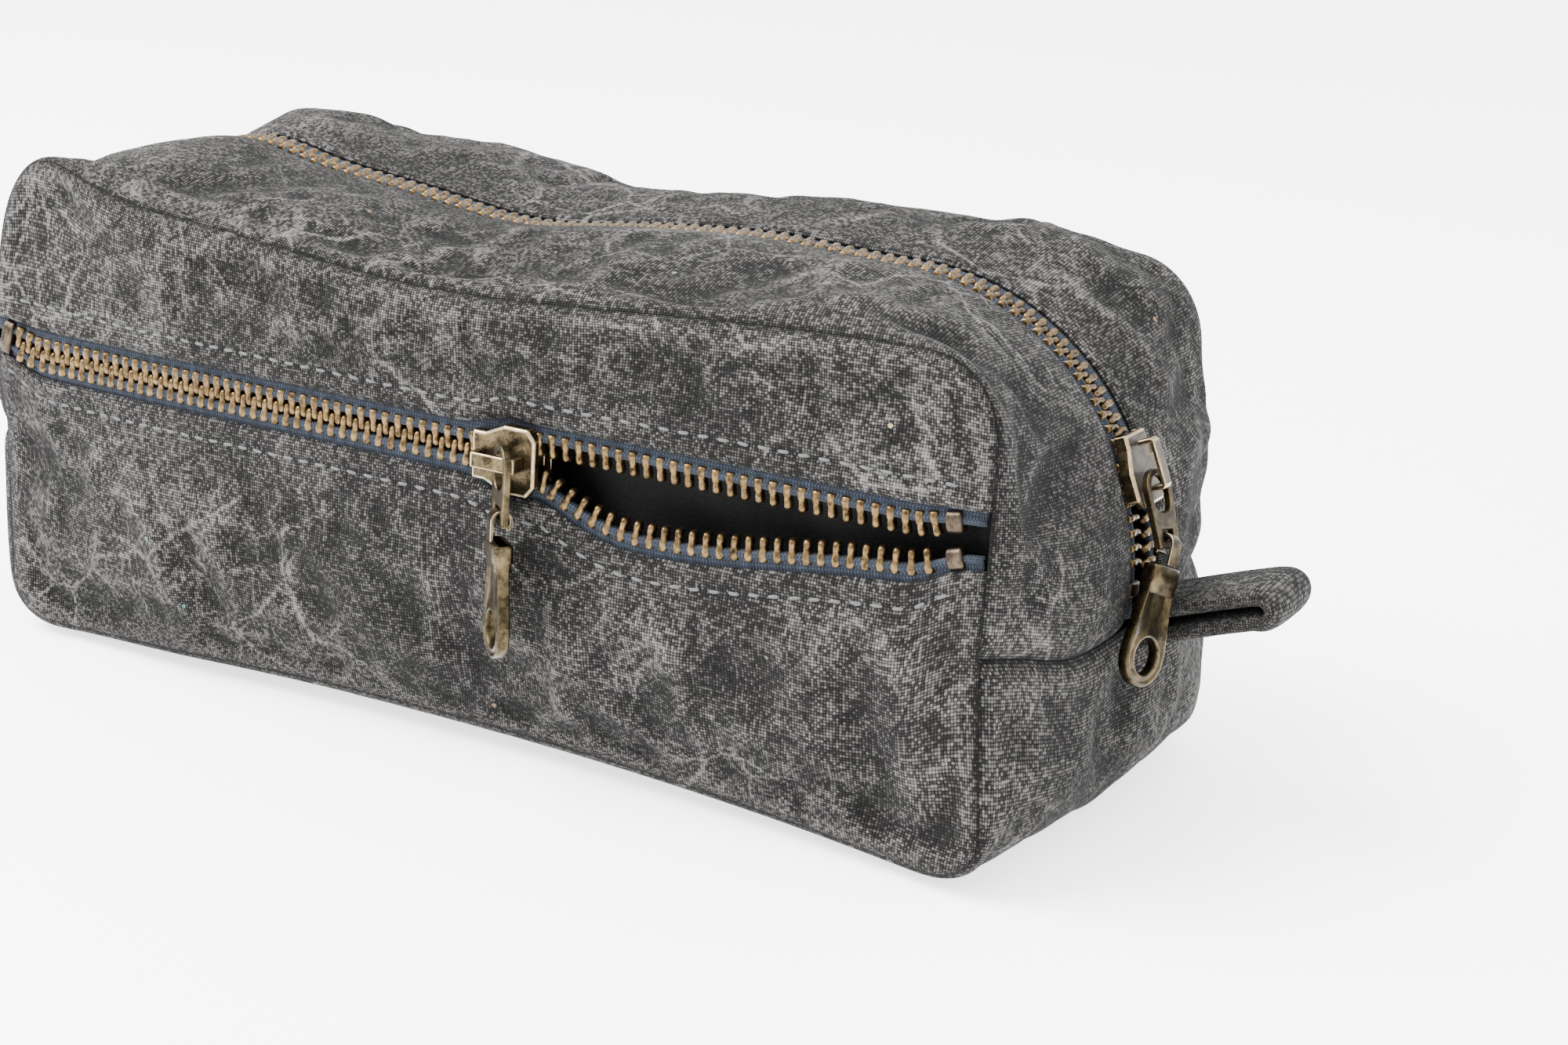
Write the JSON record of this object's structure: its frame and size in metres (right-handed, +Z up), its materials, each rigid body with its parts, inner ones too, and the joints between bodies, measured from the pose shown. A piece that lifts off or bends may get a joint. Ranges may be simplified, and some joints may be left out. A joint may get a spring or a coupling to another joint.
{
  "type": "shaving kit bag",
  "caption": "Boxy canvas shaving kit bag with a two-way gusset, a zipped top running down both ends, a zipped front pocket, metal zips with ring pulls and a folded tab loop at each end.",
  "frame": {"origin": "middle of the base, on the surface the bag stands on", "axes": "+X towards the end where the main slider is parked, -Y towards the zipped front pocket, +Z up"},
  "size_m": [0.2722, 0.1054, 0.0875],
  "materials": {
    "canvas": "stone-washed charcoal plain-weave canvas, matt and slightly fuzzy",
    "lining": "fine black plain-weave lining",
    "zip_tape": "slate navy woven zip tape",
    "teeth": "antique brass, darkened in the recesses",
    "stops": "dull taupe bronze with fine grooves",
    "antique_brass": "antique brass, brown-black with bright worn edges"
  },
  "bodies": {
    "bag": {"top_gusset_front": "canvas", "top_gusset_back": "canvas", "base_gusset": "canvas", "back_panel": "canvas", "front_lower_panel": "canvas", "front_upper_panel": "canvas", "tab_loop_right": "canvas", "tab_loop_left": "canvas", "main_lining": "lining", "pocket_lining": "lining", "pocket_tape_upper": "zip_tape", "pocket_tape_lower": "zip_tape", "main_tape_back": "zip_tape", "main_tape_front": "zip_tape", "pocket_teeth_upper": "teeth", "pocket_teeth_lower": "teeth", "main_teeth_back": "teeth", "main_teeth_front": "teeth", "pocket_top_stop_upper": "stops", "pocket_top_stop_lower": "stops", "pocket_bottom_stop": "stops", "main_top_stop_back": "stops", "main_top_stop_front": "stops", "main_bottom_stop": "stops"},
    "pocket_slider": {"pocket_slider_body": "antique_brass", "pocket_slider_strap": "antique_brass", "pocket_slider_lock_spring": "antique_brass"},
    "pocket_link": {"pocket_pull_link": "antique_brass"},
    "pocket_plate": {"pocket_pull_hook": "antique_brass", "pocket_pull_plate": "antique_brass"},
    "main_slider": {"main_slider_body": "antique_brass", "main_slider_strap": "antique_brass", "main_slider_lock_spring": "antique_brass"},
    "main_link": {"main_pull_link": "antique_brass"},
    "main_plate": {"main_pull_hook": "antique_brass", "main_pull_plate": "antique_brass"}
  },
  "joints": [
    {"name": "pocket_slider_slide", "type": "slide", "parent": "bag", "child": "pocket_slider", "axis": [1, 0, 0], "range_m": [-0.1075, 0.0705], "deforming": ["pocket_tape_upper", "pocket_tape_lower", "pocket_teeth_upper", "pocket_teeth_lower"]},
    {"name": "pocket_link_swing", "type": "hinge", "parent": "pocket_slider", "child": "pocket_link", "pos_m": [0.02, -0.05315, 0.055], "axis": [0, 1, 0], "range_deg": [-27, 27]},
    {"name": "pocket_plate_swing", "type": "hinge", "parent": "pocket_link", "child": "pocket_plate", "pos_m": [0.02, -0.05315, 0.04605], "axis": [-0.766, 0.6428, 0], "range_deg": [0, 110]},
    {"name": "main_slider_travel", "type": "hinge", "parent": "bag", "child": "main_slider", "pos_m": [0.0635, 0, 0.0415], "axis": [0, -1, 0], "range_deg": [-5, 67], "deforming": ["main_tape_back", "main_tape_front", "main_teeth_back", "main_teeth_front"]},
    {"name": "main_link_swing", "type": "hinge", "parent": "main_slider", "child": "main_link", "pos_m": [0.10881, 0, 0.05965], "axis": [-0.2068, -0.9661, 0.1545], "range_deg": [0, 100]},
    {"name": "main_plate_swing", "type": "hinge", "parent": "main_link", "child": "main_plate", "pos_m": [0.11336, -0.00269, 0.04893], "axis": [-0.2955, -0.8858, 0.3579], "range_deg": [0, 110]}
  ]
}
